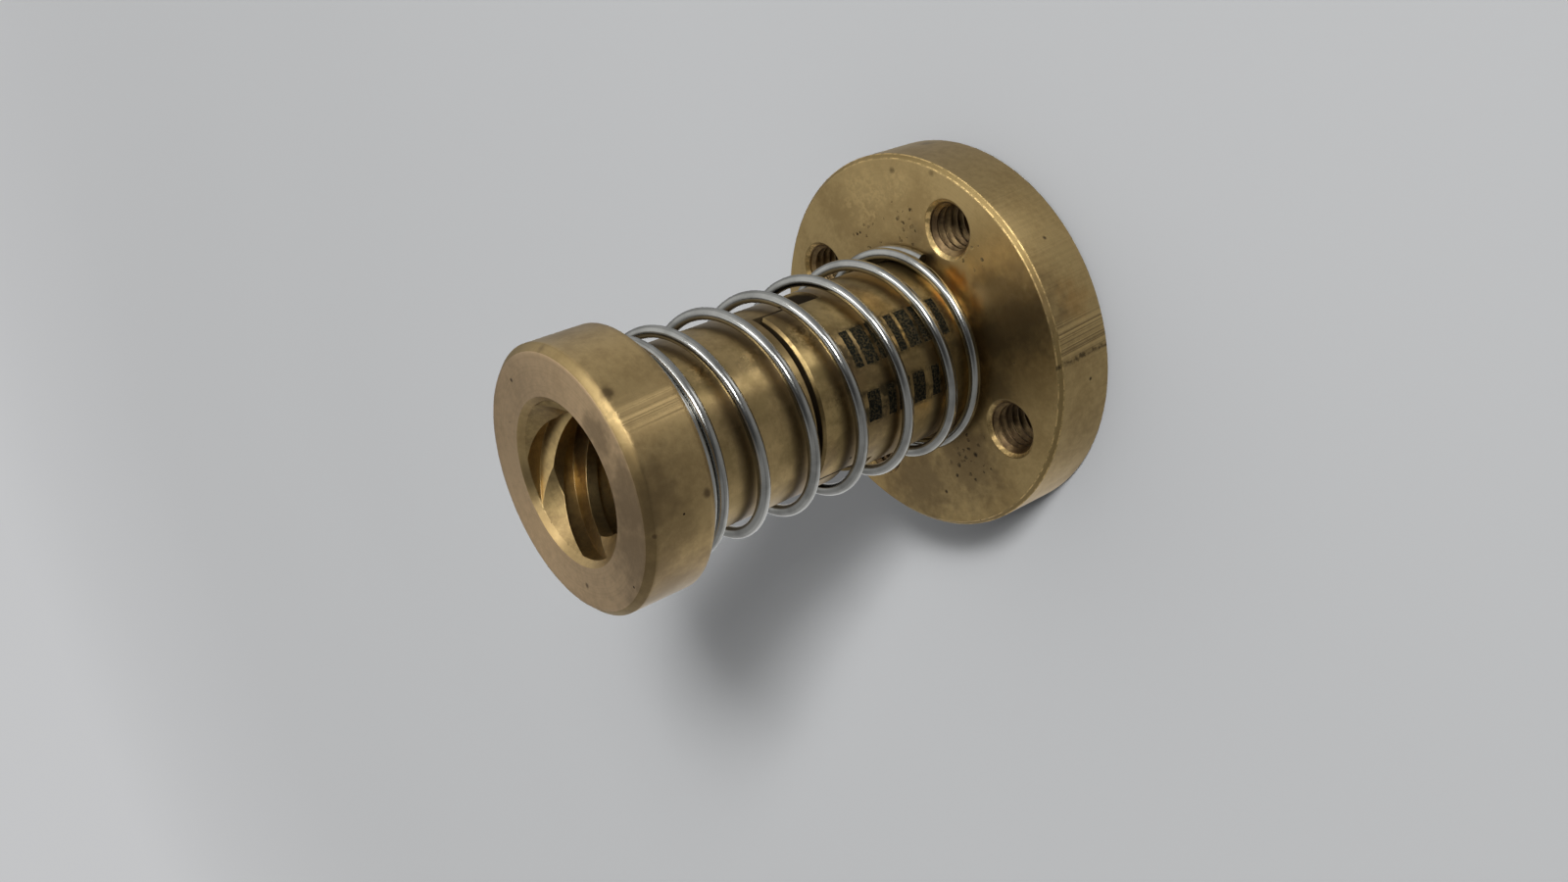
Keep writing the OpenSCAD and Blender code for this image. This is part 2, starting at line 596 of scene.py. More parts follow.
@dataclass(frozen=True)
class BrassFinish:
    """Turned brass with tool marks, stains, pits, painted shade and painted highlights."""

    name: str
    bright: Colour = (0.60, 0.435, 0.195)
    dull: Colour = (0.45, 0.315, 0.135)
    face: Colour | None = None
    # A dark olive for the darker barrel and for painted shade on the chamfers
    dark_olive: Colour = (0.28, 0.205, 0.085)
    # A brown for stains, scratch grooves and painted shade
    tarnish_and_shade: Colour = (0.15, 0.100, 0.050)
    heat: Colour = (0.52, 0.235, 0.05)
    # A dark brown for pits, specks, dents, cracks and painted shade in the slots
    dirt_and_shade: Colour = (0.040, 0.029, 0.018)
    etched: Colour = (0.016, 0.017, 0.013)
    roughness: float = 0.36
    anisotropy: float = 0.62
    edge_radius: float = 0.05 * MM
    # Painted shade on the chamfers, and the radii of painted highlight lines along edges
    edge_shade: float = 0.0
    edge_highlight_lines: tuple[float, ...] = ()
    slots: tuple[float, float] | None = None
    barrel_darkness: float = 0.0
    coil_shadows: CoilShadows | None = None
    # Painted shade round the foot of the barrel, out to the next radius
    hub_shade: float = 0.0
    hub_shade_radius: float = 6.6 * MM
    hole_circle: float = 0.0
    hole_radius: float = 1.5 * MM
    hole_mouth: float = 1.7 * MM
    surface_patches: tuple[SurfacePatch, ...] = ()
    scratches: tuple[Scratches, ...] = ()
    cracks: tuple[Crack, ...] = ()
    rows: tuple[EtchedRow, ...] = ()

    def material(self) -> bpy.types.Material:
        """Builds the material.

        Returns:
            The material.
        """
        w = TurnedWiring(self.name)
        blotches = w.noise(210.0, 6.0, rough=0.62)
        speckle = w.noise(2600.0, 5.0, rough=0.7)
        track = w.either(w.on_face, w.height, w.radius) + w.noise(300.0, 2.0) * (50 * MICRON)
        # Lighter brass for painted highlights and for the burrs beside scratches
        highlight_gold = shaded(self.bright, 1.35)

        # The metal, from its bare colour to its stains, with painted shade and painted highlights
        share = (speckle - 0.5).scaled(0.5, blotches).ramp(0.38, 0.68)
        colour = w.mix(share, self.bright, self.dull)
        if self.face is not None:
            pale = w.mix(share, self.face, shaded(self.face, 0.78))
            colour = w.mix(w.on_face, colour, pale)
        streaks = w.lines(track, 9000.0, 1.0).ramp(0.45, 0.70, 0.0, 0.16)
        colour = w.mix(streaks, colour, self.dull)
        # Painted shade on the chamfers, which dims their highlights
        colour = w.mix(w.on_edge * self.edge_shade, colour, self.dark_olive)
        if self.barrel_darkness > 0.0:
            colour = self._darkened_barrel(w, colour, blotches)
        # Painted highlights: brighter spots, the mouths of the tapped holes and lines along edges
        rubbed_and_highlit = w.most(self._patch_mask(w, Mark.RUBBED_AND_HIGHLIT), *self._highlight_masks(w))
        colour = w.mix(speckle.ramp(0.40, 0.60) * rubbed_and_highlit, colour, highlight_gold)
        colour = w.mix(self._patch_mask(w, Mark.HEAT) * 0.9, colour, self.heat)
        # Stains, and painted shade in broad patches, round the foot of the barrel and in the holes
        stain_and_shade = w.most(self._patch_mask(w, Mark.STAIN_AND_SHADE), self._corner_shade(w))
        colour = w.mix(stain_and_shade * 0.85, colour, self.tarnish_and_shade)
        grooves = [self._scratched(w, band) for band in self.scratches]
        for groove in grooves:
            colour = w.mix(groove.math("MULTIPLY", -0.65, clamp=True), colour, self.tarnish_and_shade)
            colour = w.mix(groove.math("MULTIPLY", 0.45, clamp=True), colour, highlight_gold)

        # Pits, specks, dents, cracks, painted slot shade and joints, and the etching over all
        hollows = [self._pits(w), self._specks(w), self._patch_mask(w, Mark.DENT) * 0.9]
        hollows += [self._cracked(w, crack) for crack in self.cracks]
        if self.slots is not None:
            hollows.append(self._slot_shade_and_joint(w))
        dirt_and_shade = w.most(*hollows)
        colour = w.mix(dirt_and_shade, colour, self.dirt_and_shade)
        etching, halo = self._etching(w)
        grain = w.noise(9000.0, 2.0).ramp(0.45, 0.62)
        if self.rows:
            colour = w.mix(halo * 0.70, colour, self.etched)
            colour = w.mix(etching, colour, w.mix(grain * 0.15, self.etched, self.dull))

        rough = (blotches - 0.5).scaled(0.35, self.roughness)
        rough = w.math("MULTIPLY_ADD", rubbed_and_highlit, -0.10, rough)
        rough = w.on_edge.scaled(0.4 * self.edge_shade, rough)
        rough = dirt_and_shade.scaled(0.25, rough)
        rough = w.math("MULTIPLY_ADD", etching, 0.25, rough, clamp=True)
        shader = w.get(
            "ShaderNodeBsdfPrincipled",
            {
                "Base Color": colour,
                "Metallic": 1.0,
                "Roughness": rough,
                "Normal": self._relief(w, track, grooves, dirt_and_shade, etching, grain),
                "Anisotropic": self.anisotropy,
                "Tangent": w.tangent,
            },
        )
        return w.surface(shader)

    def _darkened_barrel(self, w: TurnedWiring, colour: Signal, blotches: Signal) -> Signal:
        """Darkens the barrel in patches and paints the shadows of the spring's turns on it.

        Args:
            w: The material's wiring.
            colour: The colour before.
            blotches: A soft noise.

        Returns:
            The colour after.
        """
        on_barrel = w.radius.within(BARREL_RADIUS - 0.2 * MM, BARREL_RADIUS + 0.1 * MM, 0.08 * MM)
        on_barrel = on_barrel * (1.0 - w.on_face)
        patches = w.noise(620.0, 5.0, rough=0.65).ramp(0.38, 0.60, 0.20, 1.0)
        smudge = blotches.ramp(0.48, 0.62, 0.0, 0.70 * self.barrel_darkness)
        colour = w.mix(on_barrel * patches * self.barrel_darkness, colour, self.dark_olive)
        colour = w.mix(smudge * on_barrel, colour, self.tarnish_and_shade)
        if self.coil_shadows is None:
            return colour
        # Painted shadows of the open turns, in dark helical bands
        marks = self.coil_shadows
        climbed = (w.height - marks.first_height) / marks.pitch
        turned = (w.azimuth - marks.start_angle) / 360.0
        off = abs((climbed - turned + 0.5).math("FRACT") - 0.5) * marks.pitch
        uneven = (blotches - 0.5).scaled(2.0 * marks.width, off)
        band = uneven.ramp(0.4 * marks.width, marks.width, marks.strength, 0.0)
        return w.mix(band * on_barrel, colour, self.tarnish_and_shade)

    def _from_hole(self, w: TurnedWiring) -> Signal:
        """Gives the distance to the axis of the nearest tapped hole."""
        middle = self.hole_circle / math.sqrt(2.0)
        return w.vector(abs(w.x) - middle, abs(w.y) - middle, 0.0).vector_math("LENGTH")

    def _highlight_masks(self, w: TurnedWiring) -> list[Signal]:
        """Masks the painted highlights on the mouths of the tapped holes and along edges.

        Args:
            w: The material's wiring.

        Returns:
            One mask for the mouths, where there are holes, and one for each line.
        """
        masks = []
        if self.hole_circle:
            # Painted highlight on the countersunk mouths
            mouth = self._from_hole(w).ramp(
                self.hole_mouth + 0.04 * MM, self.hole_mouth + 0.08 * MM, 1.0, 0.0
            )
            cut = w.height.within(FLANGE_TOP - 0.20 * MM, FLANGE_TOP - 0.03 * MM, 0.02 * MM)
            masks.append(mouth * cut)
        # Painted highlight lines along the edges of the chamfer
        for line in self.edge_highlight_lines:
            masks.append(abs(w.radius - line).ramp(0.015 * MM, 0.045 * MM, 1.0, 0.0) * w.on_edge)
        return masks

    def _slot_shade_and_joint(self, w: TurnedWiring) -> Signal:
        """Masks painted shade on the slot walls and inside, and the joint beside each tongue.

        Args:
            w: The material's wiring.

        Returns:
            The mask.
        """
        low, high = self.slots
        inside = w.radius.ramp(BARREL_RADIUS - 0.24 * MM, BARREL_RADIUS - 0.12 * MM, 0.93, 0.0)
        line = abs(abs(w.x) - JOINT_OFF_AXIS).ramp(0.04 * MM, 0.12 * MM, 0.85, 0.0)
        span = w.height.within(high - 3.0 * MM, high - 0.3 * MM, 0.1 * MM)
        return w.most(inside * w.height.within(low, high, 0.05 * MM), line * span)

    def _corner_shade(self, w: TurnedWiring) -> Signal:
        """Masks painted shade round the foot of the barrel and deep inside the tapped holes.

        Args:
            w: The material's wiring.

        Returns:
            The mask.
        """
        ring = w.radius.ramp(
            BARREL_RADIUS + 0.1 * MM, self.hub_shade_radius, self.hub_shade, 0.0
        )
        total = ring * w.on_face * w.noise(900.0, 4.0).ramp(0.35, 0.60, 0.35, 1.0)
        if not self.hole_circle:
            return total
        inside = self._from_hole(w).ramp(
            self.hole_radius + 0.03 * MM, self.hole_radius + 0.10 * MM, 1.0, 0.0
        )
        deep = w.height.ramp(FLANGE_TOP - 0.28 * MM, FLANGE_TOP - 0.20 * MM, 1.0, 0.0)
        return w.most(total, inside * deep)

    def _relief(
        self,
        w: TurnedWiring,
        track: Signal,
        grooves: list[Signal],
        dirt_and_shade: Signal,
        etching: Signal | float,
        grain: Signal,
    ) -> Signal:
        """Adds the tool marks, scratches, pits and etching to the normal.

        Args:
            w: The material's wiring.
            track: What the cutter's marks lie across: the radius on faces, or the height.
            grooves: The heights of the scratches.
            dirt_and_shade: The mask of pits, specks, dents, cracks and painted slot shade.
            etching: The mask of the etched bars.
            grain: The rough floor of the bars.

        Returns:
            The normal.
        """
        marks = w.lines(track, 14000.0).scaled(0.35, w.lines(track, 5600.0, 2.0))
        beyond_barrel = (BARREL_RADIUS + 0.05 * MM, BARREL_RADIUS + 0.2 * MM)
        radius = w.radius.ramp(*beyond_barrel, 0.04 * MM, self.edge_radius)
        rounded = w.get("ShaderNodeBevel", {"Radius": radius}, samples=6)
        normal = w.bump(marks, 4 * MICRON, 0.45, rounded)
        for groove in grooves:
            normal = w.bump(groove, 12 * MICRON, 1.0, normal)
        normal = w.bump(1.0 - dirt_and_shade, 15 * MICRON, 0.8, normal)
        if self.rows:
            normal = w.bump(etching * (grain - 2.0), 14 * MICRON, 1.0, normal)
        return normal

    def _scratched(self, w: TurnedWiring, band: Scratches) -> Signal:
        """Adds the grooves of one sector of scratches.

        Args:
            w: The material's wiring.
            band: The sector.

        Returns:
            Their height, from -1 in a groove to 1 on the burr beside it.
        """
        slanted = w.height.scaled(0.06, w.arc)
        height = w.lines(slanted, band.per_metre, 2.0).ramp(0.36, 0.64, -1.0, 1.0)
        off = abs(w.azimuth - band.azimuth)
        near = off.ramp(0.5 * band.spread, band.spread, band.strength, 0.0)
        return height * (near * w.on_side * (w.radius > band.radius))

    def _cracked(self, w: TurnedWiring, crack: Crack) -> Signal:
        """Masks one crack.

        Args:
            w: The material's wiring.
            crack: Its place and width.

        Returns:
            The mask.
        """
        middle = math.radians(crack.azimuth) * crack.radius
        jagged = w.lines(w.height, 1500.0, 4.0) - 0.5
        off = abs(jagged.scaled(crack.jag, w.height.scaled(crack.lean, w.arc)) - middle)
        mask = off.ramp(0.2 * crack.width, crack.width, 0.75, 0.0)
        broken = w.noise(1500.0, 3.0).ramp(0.42, 0.54, 0.35, 1.0)
        return mask * (w.radius > crack.radius - 0.3 * MM) * broken

    def _pits(self, w: TurnedWiring) -> Signal:
        """Masks scattered dark pits, denser where a soft noise is high.

        Args:
            w: The material's wiring.

        Returns:
            The mask.
        """
        chances, distance = w.cells(w.place, 900.0)
        near = distance < (chances[0] - 0.55) * 0.24
        return near * w.noise(240.0, 3.0).ramp(0.48, 0.58)

    def _specks(self, w: TurnedWiring) -> Signal:
        """Masks clusters of fine specks in the patches that call for them.

        Args:
            w: The material's wiring.

        Returns:
            The mask.
        """
        place = w.shaken_place(w.shake(5000.0, 2.0), 0.25 * MM)
        chances, distance = w.cells(place, 2700.0)
        needed = w.math("MULTIPLY_ADD", self._patch_mask(w, Mark.SPECKS), -0.98, 1.0)
        chosen = chances[1] > needed
        near = distance < chances[2].scaled(0.34, 0.04)
        return chosen * near * w.noise(2300.0, 2.0).ramp(0.40, 0.65, 0.30, 0.85)

    def _patch_mask(self, w: TurnedWiring, mark: Mark) -> Signal | float:
        """Masks the patches of one kind, with ragged edges.

        Args:
            w: The material's wiring.
            mark: The kind.

        Returns:
            The mask, or 0 where there is none of that kind.
        """
        shake = w.shake(1400.0, 4.0)
        masks = []
        for patch in (p for p in self.surface_patches if p.mark is mark):
            place = w.shaken_place(shake, 1.1 * patch.size)
            far = place.vector_math("DISTANCE", patch.centre())
            masks.append(far.ramp(0.25 * patch.size, patch.size, patch.strength, 0.0))
        return w.most(0.0, *masks)

    def _etching(self, w: TurnedWiring) -> tuple[Signal | float, Signal | float]:
        """Masks the etched bars, with slightly ragged edges, and the burnt metal around them.

        Args:
            w: The material's wiring.

        Returns:
            Both masks, which are 0 where there are no bars.
        """
        ragged = w.noise(7000.0, 2.0) - 0.5
        smoke = w.noise(1300.0, 4.0, rough=0.65).ramp(0.42, 0.62)
        on_barrel = w.radius.within(BARREL_RADIUS - 0.1 * MM, BARREL_RADIUS + 0.1 * MM, 0.05 * MM)
        bars, halos = [], []
        for row in self.rows:
            along = ragged.scaled(0.10, (w.height - row.bottom) / row.pitch)
            off = ragged.scaled(0.10, (w.azimuth - row.azimuth) / row.half_angle)
            number = along.math("FLOOR")
            narrow = number.math("FLOORED_MODULO", 3.0) < 0.5
            share = narrow.scaled(row.narrow_share - row.share, row.share)
            mask = on_barrel * (along.math("FRACT") < share) * (along > 0.0)
            bars.append(mask * (number < row.bars - 0.5) * (abs(off) < 1.0))
            top = row.bottom + row.bars * row.pitch
            near = w.height.within(row.bottom, top, 0.7 * MM) * off.within(-1.0, 1.0, 0.35)
            halos.append(near * smoke * on_barrel)
        return w.most(0.0, *bars), w.most(0.0, *halos)


@dataclass(frozen=True)
class SpringSteelFinish:
    """Drawn spring wire, bright and smooth, with faint lines along it."""

    name: str
    bright: Colour = (0.46, 0.46, 0.435)
    dull: Colour = (0.32, 0.32, 0.30)
    roughness: float = 0.20

    def material(self) -> bpy.types.Material:
        """Builds the material, whose lines follow the wire.

        Returns:
            The material.
        """
        w = ShaderWiring(self.name)
        along, around = (
            w.get("ShaderNodeAttribute", output="Fac", attribute_name=name)
            for name in ("wire_along", "wire_around")
        )
        lines = w.noise(14000.0, 3.0, w.vector(along * 0.02, around, 0.0))
        clouds = w.noise(500.0)
        shader = w.get(
            "ShaderNodeBsdfPrincipled",
            {
                "Base Color": w.mix(clouds.ramp(0.4, 0.7), self.bright, self.dull),
                "Metallic": 1.0,
                "Roughness": clouds.scaled(0.12, self.roughness - 0.06),
                "Normal": w.bump(lines, 0.3 * MICRON, 0.5),
            },
        )
        return w.surface(shader)


@dataclass(frozen=True)
class RoomLight:
    """The light of the room: a pale wall and table, a low pane, a dark corner and horizon."""

    level: float = 0.30
    colour: Colour = (1.0, 1.0, 1.0)
    bright_side: Direction = (-0.15, 0.78, 0.60)
    brighter: float = 0.46
    low_side: Direction = (-0.50, -0.65, -0.57)
    lower: float = 0.43
    pane_side: Direction = (0.829, 0.559, 0.0)
    pane: float = 1.1
    horizon: float = 0.35
    dark_side: Direction = (0.74, 0.07, 0.67)
    darker: float = 0.88

    def strength(self, direction: Signal) -> Signal:
        """Gives the light that comes from a direction.

        Args:
            direction: The direction, of length 1.

        Returns:
            Its strength.
        """
        up, low, near = (
            direction.vector_math("DOT_PRODUCT", side)
            for side in (self.bright_side, self.low_side, self.dark_side)
        )
        x, y, z = direction.parts()
        flat = direction.wiring.vector(x, y, 0.0).vector_math("NORMALIZE")
        beside = flat.vector_math("DOT_PRODUCT", self.pane_side)
        pane = beside.ramp(0.975, 0.995) * z.ramp(-0.68, -0.58)
        pane = pane * z.ramp(-0.34, -0.24, self.pane, 0.0)
        bright = up.ramp(0.35, 0.90, self.level, self.level + self.brighter)
        bright = bright + low.ramp(0.45, 0.95, 0.0, self.lower)
        bright = bright * abs(z).ramp(0.04, 0.20, 1.0 - self.horizon, 1.0) + pane
        return bright * near.ramp(0.60, 0.95, 1.0, 1.0 - self.darker)


@dataclass(frozen=True)
class FloorFinish:
    """A pale, plain table top, in which metal sees the room rather than the table's own light.

    Far from the part it fades into the backdrop.
    """

    name: str
    room: RoomLight
    seen_from: Vector
    backdrop: Colour
    colour: Colour = (0.70, 0.71, 0.72)
    roughness: float = 0.6
    fade_from: float = 0.07
    fade_to: float = 0.45

    def material(self) -> bpy.types.Material:
        """Builds the material.

        Returns:
            The material.
        """
        w = ShaderWiring(self.name)
        clouds = w.noise(6.0, 2.0).ramp(0.35, 0.65)
        colour = w.mix(clouds, self.colour, shaded(self.colour, 0.97))
        table = w.get(
            "ShaderNodeBsdfPrincipled",
            {"Base Color": colour, "Roughness": self.roughness, "Specular IOR Level": 0.2},
        )
        plain = w.get("ShaderNodeEmission", {"Color": self.backdrop, "Strength": 1.0})
        far = w.place.vector_math("LENGTH").ramp(self.fade_from, self.fade_to)
        to_camera, to_metal = (
            w.get("ShaderNodeLightPath", output=ray) for ray in ("Is Camera Ray", "Is Glossy Ray")
        )
        away = w.place.vector_math("SUBTRACT", tuple(self.seen_from))
        strength = self.room.strength(away.vector_math("NORMALIZE"))
        room = w.get("ShaderNodeEmission", {"Color": self.room.colour, "Strength": strength})
        faded = w.either_shader(far * to_camera, table, plain)
        return w.surface(w.either_shader(to_metal, faded, room))


# ---- threads -----------------------------------------------------------------------------------


@dataclass(frozen=True)
class InnerThread:
    """The ridges of a right-hand inner thread, as a closed shell whose back is in the metal."""

    root_radius: float
    crest_radius: float
    pitch: float
    starts: int
    crest_width: float
    flank_width: float
    bottom: float
    top: float
    bottom_flare: float = 0.0
    top_flare: float = 0.0
    slab: SlabCut = SlabCut.NONE
    slab_width: float = 0.0
    slab_bottom: float = 0.0
    slab_top: float = 0.0
    columns: int = 96
    backing: float = 0.04 * MM
    skin: float = 0.015 * MM

    def build(self, recipe: GeometryRecipe) -> Signal:
        """Adds the thread to a tree, which gets an input for every size.

        Args:
            recipe: The tree.

        Returns:
            The thread.
        """
        sizes = {
            "Root Radius": self.root_radius - self.skin,
            "Crest Radius": self.crest_radius,
            "Pitch": self.pitch,
            "Starts": self.starts,
            "Bottom": self.bottom,
            "Top": self.top,
            "Crest Width": self.crest_width,
            "Flank Width": self.flank_width,
            "Backing": self.backing,
            "Columns": self.columns,
        }
        g = {name: recipe.take(name, value) for name, value in sizes.items()}
        cutters = []
        shell = self._shell(recipe, g)
        if self.bottom_flare > 0.0:
            cutters.append(self._flare(recipe, self.bottom_flare, g["Bottom"], opens_down=True))
        if self.top_flare > 0.0:
            cutters.append(self._flare(recipe, self.top_flare, g["Top"], opens_down=False))
        if self.slab is not SlabCut.NONE:
            cutters.append(self._slabs(recipe))
        for cutter in cutters:
            shell = recipe.get(
                "GeometryNodeMeshBoolean",
                {"Mesh 1": shell, "Mesh 2": cutter},
                "Mesh",
                operation="DIFFERENCE",
                solver="EXACT",
            )
        return shell

    def _shell(self, recipe: GeometryRecipe, g: dict[str, Signal]) -> Signal:
        """Lays a grid round the bore, with a row of points on every corner of the profile.

        Args:
            recipe: The tree.
            g: The sizes.

        Returns:
            The closed shell.
        """
        corners = 6
        height = g["Top"] - g["Bottom"]
        teeth = (height / g["Pitch"] + g["Starts"]).math("CEIL")
        thread_rows = teeth.scaled(float(corners), 1.0)
        rows = thread_rows + 3.0
        sizes = {"Size X": 1.0, "Size Y": 1.0, "Vertices X": g["Columns"] + 1.0}
        grid = recipe.get("GeometryNodeMeshGrid", {**sizes, "Vertices Y": rows})
        flat = recipe.get("GeometryNodeInputPosition").parts()
        turn = flat[0] + 0.5
        row = ((flat[1] + 0.5) * (rows - 1.0)).math("ROUND")
        step = row - 1.0
        tooth = (step / float(corners)).math("FLOOR")
        corner = (step - tooth * float(corners)).math("ROUND")

        # The phases of the corners within one pitch, about a ridge in its middle
        half_crest = g["Crest Width"] * 0.5 / g["Pitch"]
        half_foot = half_crest + g["Flank Width"] / g["Pitch"]
        rising = (0.5 - half_foot, 0.5 - half_crest)
        falling = (half_crest + 0.5, half_foot + 0.5)
        choose = recipe.add("GeometryNodeIndexSwitch", data_type="FLOAT")
        while len(choose.index_switch_items) < corners:
            choose.index_switch_items.new()
        recipe.put(choose.inputs["Index"], corner)
        for i, phase in enumerate((0.0, *rising, 0.5, *falling)):
            recipe.put(choose.inputs[1 + i], phase)
        climbed = tooth + Signal(recipe, choose.outputs[0]) + turn * g["Starts"]
        level = (climbed - g["Starts"]) * g["Pitch"]
        z = g["Bottom"] + level.limited(0.0, height)

        # The radius there, from the distance to the middle of the nearest ridge
        passed = (z - g["Bottom"]) / g["Pitch"]
        off = abs((passed - turn * g["Starts"]).math("FRACT") - 0.5) * g["Pitch"]
        foot = g["Crest Width"].scaled(0.5, g["Flank Width"])
        rise = (foot - off).math("DIVIDE", g["Flank Width"], clamp=True)
        ridge_radius = g["Root Radius"] - (g["Root Radius"] - g["Crest Radius"]) * rise

        # The first row and the last two lie on the back of the shell
        at_first = row < 0.5
        at_last = row > thread_rows + 0.5
        at_close = row > thread_rows + 1.5
        back_radius = g["Root Radius"] + g["Backing"]
        radius = recipe.either(recipe.most(at_first, at_last), ridge_radius, back_radius)
        z = recipe.either(at_last, z, g["Top"])
        z = recipe.either(recipe.most(at_first, at_close), z, g["Bottom"])
        point = recipe.polar(radius, turn * math.tau, z)
        bent = recipe.get("GeometryNodeSetPosition", {"Geometry": grid, "Position": point})
        inputs = {"Geometry": bent, "Distance": 0.5 * MICRON}
        return recipe.get("GeometryNodeMergeByDistance", inputs)

    def _flare(
        self, recipe: GeometryRecipe, mouth: float, face: Signal, opens_down: bool
    ) -> Signal:
        """Makes the cone that a countersink leaves in the ridges of one mouth.

        Args:
            recipe: The tree.
            mouth: The radius of the countersink in the face.
            face: The face's height.
            opens_down: Whether the thread is above that face.

        Returns:
            The cone.
        """
        over = 0.5 * MM
        narrow = 0.5 * self.crest_radius
        wide = mouth + over
        depth = wide - narrow
        low_end, high_end = (wide, narrow) if opens_down else (narrow, wide)
        cone = recipe.get(
            "GeometryNodeMeshCone",
            {"Vertices": 96, "Radius Top": high_end, "Radius Bottom": low_end, "Depth": depth},
            "Mesh",
        )
        return self._raised(recipe, cone, 0.0, face + (-over if opens_down else over - depth))

    @staticmethod
    def _raised(recipe: GeometryRecipe, mesh: Signal, x: object, z: Signal) -> Signal:
        """Moves a mesh along X and Z."""
        inputs = {"Geometry": mesh, "Translation": recipe.vector(x, 0.0, z)}
        return recipe.get("GeometryNodeTransform", inputs)

    def _slabs(self, recipe: GeometryRecipe) -> Signal:
        """Makes what is taken away between the slab's heights: the slab, or all beside it.

        Args:
            recipe: The tree.

        Returns:
            One block or two.
        """
        width = recipe.take("Slab Width", self.slab_width)
        low = recipe.take("Slab Bottom", self.slab_bottom)
        high = recipe.take("Slab Top", self.slab_top)
        reach = 3.0 * self.root_radius
        if self.slab is SlabCut.REMOVE_INSIDE:
            placed = [(width, 0.0)]
        else:
            off = width.scaled(0.5, 0.5 * reach)
            placed = [(reach, off), (reach, off * -1.0)]
        joined = recipe.add("GeometryNodeJoinGeometry")
        for broad, x in placed:
            size = recipe.vector(broad, reach, high - low)
            box = recipe.get("GeometryNodeMeshCube", {"Size": size}, "Mesh")
            recipe.put(joined.inputs[0], self._raised(recipe, box, x, (low + high) * 0.5))
        return Signal(recipe, joined.outputs[0])


# ---- sub-assemblies ----------------------------------------------------------------------------


def mount_sizes(name: str) -> dict:
    """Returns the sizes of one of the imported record's mounts."""
    return next(m for m in frame["record"]["mounts"] if m["name"] == name)["dims"]


def dress(node: str, material: bpy.types.Material) -> None:
    """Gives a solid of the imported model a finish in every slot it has.

    Args:
        node: The solid's name.
        material: Its finish.
    """
    for slot in frame["nodes"][node].material_slots:
        slot.material = material
    log.info("finished %s in %s", node, material.name)


def ride(piece: bpy.types.Object, body: Body, slot: Slot) -> None:
    """Puts a new piece on its body.

    Args:
        piece: The piece, in place.
        body: The body that it moves with.
        slot: The record's material slot, which is not used.
    """
    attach(piece, body.value)
    log.info("%s rides on %s: %d faces", piece.name, body.value, len(piece.data.polygons))


@dataclass
class ScrewThread:
    """The four-start thread that both nuts share with the screw."""

    root_radius: float = 4.1 * MM
    crest_radius: float = 3.2 * MM
    pitch: float = 2.0 * MM
    starts: int = 4
    crest_width: float = 0.66 * MM
    flank_width: float = 0.28 * MM
    mouth_chamfer: float = 0.3 * MM
    clearance: float = 0.01 * MM

    def cut(
        self, name: str, metal: bpy.types.Material, bottom: float, top: float, **ends: object
    ) -> bpy.types.Object:
        """Makes the ridges between two heights.

        Args:
            name: The piece's name.
            metal: The finish.
            bottom: Where they begin.
            top: Where they end.
            ends: The sizes of the flare and the slab at their ends.

        Returns:
            The piece.
        """
        recipe = GeometryRecipe(name)
        ridges = InnerThread(
            self.root_radius,
            self.crest_radius,
            self.pitch,
            self.starts,
            self.crest_width,
            self.flank_width,
            bottom,
            top,
            **ends,
        )
        return recipe.make(ridges.build(recipe), metal)


@dataclass
class FlangedNut:
    """The nut with the flange, the barrel and its two jaws."""

    thread: ScrewThread
    finish: BrassFinish
    thread_finish: BrassFinish
    bolt_finish: BrassFinish
    slot_width: float = 5.0 * MM
    slot_depth: float = 4.1 * MM
    bolt_crest_radius: float = 1.24 * MM
    bolt_pitch: float = 0.5 * MM
    bolt_crest_width: float = 0.1 * MM
    bolt_flank_width: float = 0.16 * MM
    bolt_countersink: float = 0.2 * MM
    first_bolt_angle: float = 45.0

    def build(self) -> None:
        """Finishes the nut and cuts its threads."""
        dress("flanged_nut", self.finish.material())
        ride(self.screw_thread(self.thread_finish.material()), Body.FLANGED, Slot.BRASS)
        ride(self.bolt_threads(self.bolt_finish.material()), Body.FLANGED, Slot.BRASS)

    def screw_thread(self, metal: bpy.types.Material) -> bpy.types.Object:
        """Makes the screw thread's ridges, which end at the walls of the slots.

        Args:
            metal: The finish.

        Returns:
            The piece.
        """
        low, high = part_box("flanged_nut")
        t = self.thread
        return t.cut(
            "flanged_nut_thread",
            metal,
            low.z,
            high.z - t.clearance,
            bottom_flare=t.root_radius + t.mouth_chamfer,
            slab=SlabCut.REMOVE_INSIDE,
            slab_width=self.slot_width + 2 * t.clearance,
            slab_bottom=high.z - self.slot_depth,
            slab_top=high.z + t.pitch,
        )

    def bolt_threads(self, metal: bpy.types.Material) -> bpy.types.Object:
        """Makes the ridges of the tapped holes, one copy of them on each point of the circle.

        Args:
            metal: The finish.

        Returns:
            The piece.
        """
        bolts = mount_sizes("flange_bolts")
        root = bolts["hole_r_mm"] * MM
        ridges = InnerThread(
            root,
            self.bolt_crest_radius,
            self.bolt_pitch,
            1,
            self.bolt_crest_width,
            self.bolt_flank_width,
            0.0,
            FLANGE_TOP,
            bottom_flare=root + self.bolt_countersink,
            top_flare=root + self.bolt_countersink,
            columns=48,
        )
        recipe = GeometryRecipe("bolt_threads")
        one = ridges.build(recipe)
        circle = recipe.get(
            "GeometryNodeMeshCircle",
            {
                "Vertices": recipe.take("Bolt Count", int(bolts["count"])),
                "Radius": recipe.take("Bolt Circle Radius", 0.5 * bolts["pcd_mm"] * MM),
            },
        )
        rotation = (0.0, 0.0, math.radians(self.first_bolt_angle))
        turned = recipe.get("GeometryNodeTransform", {"Geometry": circle, "Rotation": rotation})
        inputs = {"Points": turned, "Instance": one}
        return recipe.make(recipe.get("GeometryNodeInstanceOnPoints", inputs), metal)


